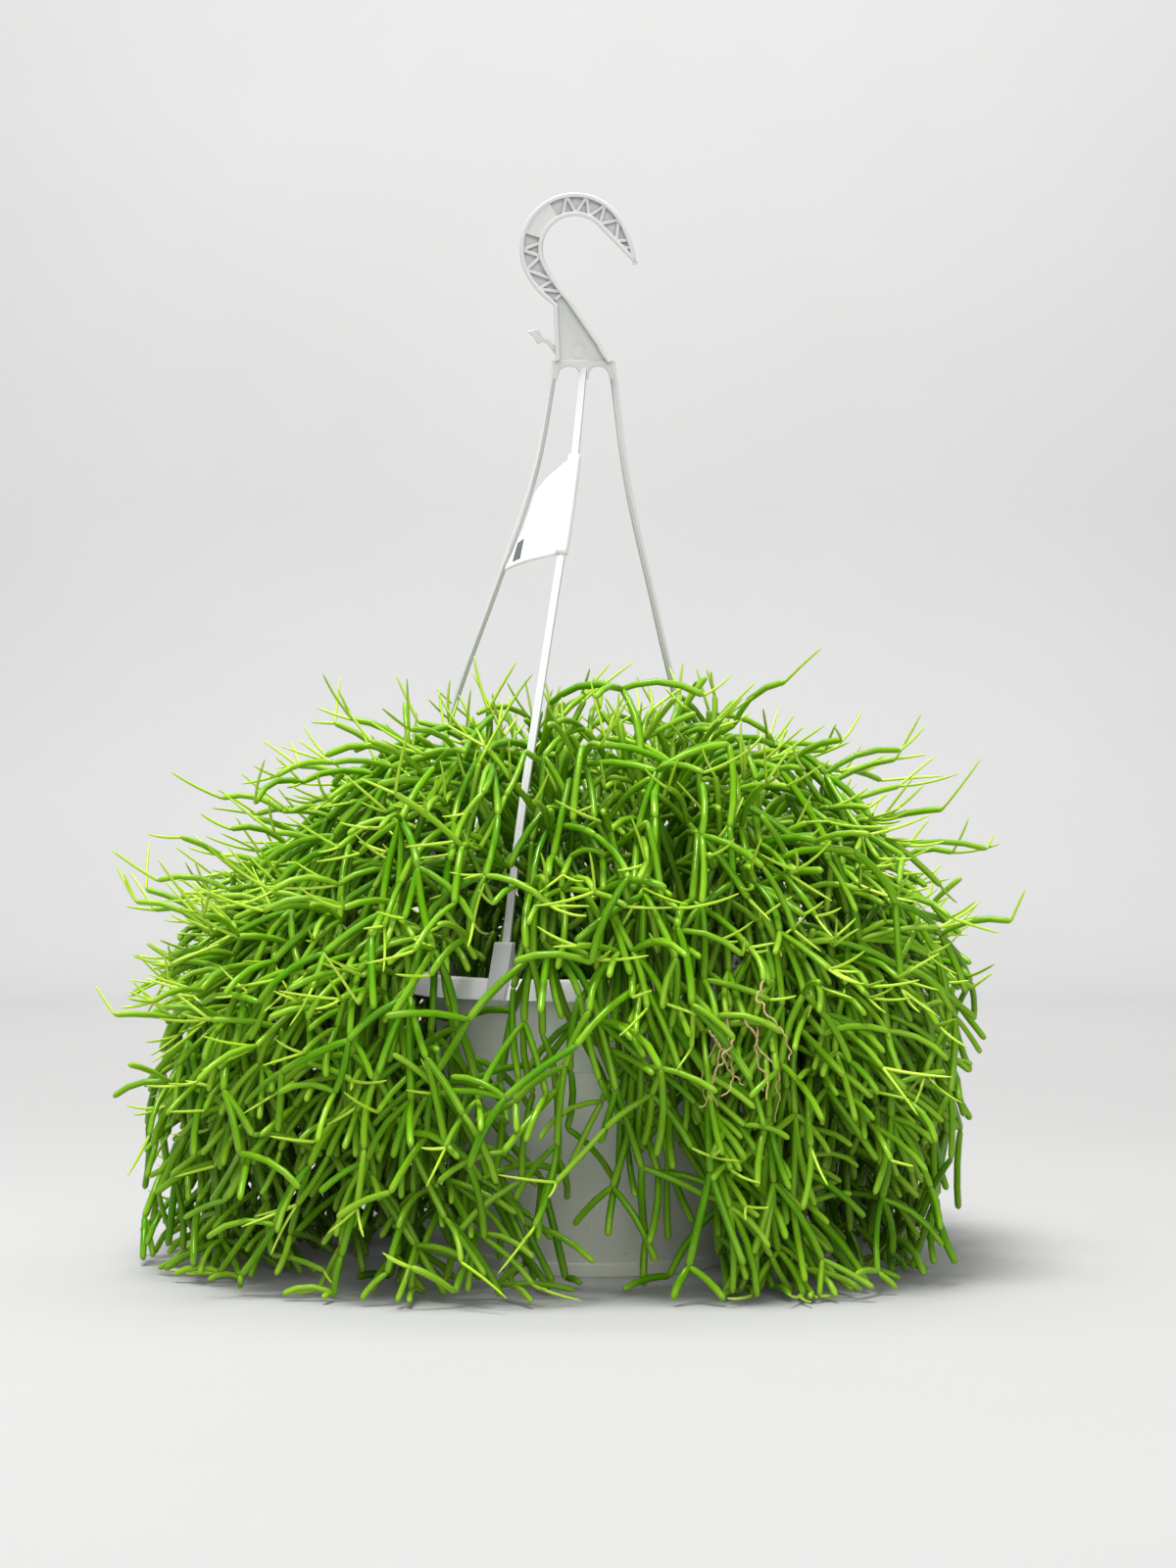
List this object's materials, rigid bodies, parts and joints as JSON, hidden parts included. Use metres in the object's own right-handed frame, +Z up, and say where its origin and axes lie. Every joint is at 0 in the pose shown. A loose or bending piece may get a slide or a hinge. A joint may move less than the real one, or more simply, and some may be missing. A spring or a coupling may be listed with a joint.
{
  "type": "mistletoe cactus",
  "caption": "Mistletoe cactus: a dense mound of thin, jointed, trailing green stems in a round plastic hanging pot with a moulded hook hanger and a plain label.",
  "frame": {"origin": "centre of the underside of the pot, on the surface that it stands on", "axes": "+Z up along the pot's axis, +X to the right and -Y towards the viewer of the front, where the pot shows between the stems"},
  "size_m": [0.3919, 0.3509, 0.4877],
  "materials": {
    "pot": "pale grey moulded plastic, satin, with a whiter rim",
    "soil": "dark crumbly potting soil, matt",
    "hanger": "white moulded plastic, slightly glossy",
    "label": "thin white plastic label, smooth",
    "stems": "fresh green plant skin, satin, paler and yellower towards the young tips"
  },
  "bodies": {
    "root": {"pot": "pot", "soil": "soil", "hanger": "hanger", "label": "label", "cutting_01": "stems", "cutting_02": "stems", "cutting_03": "stems", "cutting_04": "stems", "cutting_05": "stems", "cutting_06": "stems", "cutting_07": "stems", "cutting_08": "stems", "cutting_09": "stems", "cutting_10": "stems", "cutting_11": "stems", "cutting_12": "stems", "cutting_13": "stems"}
  },
  "joints": []
}
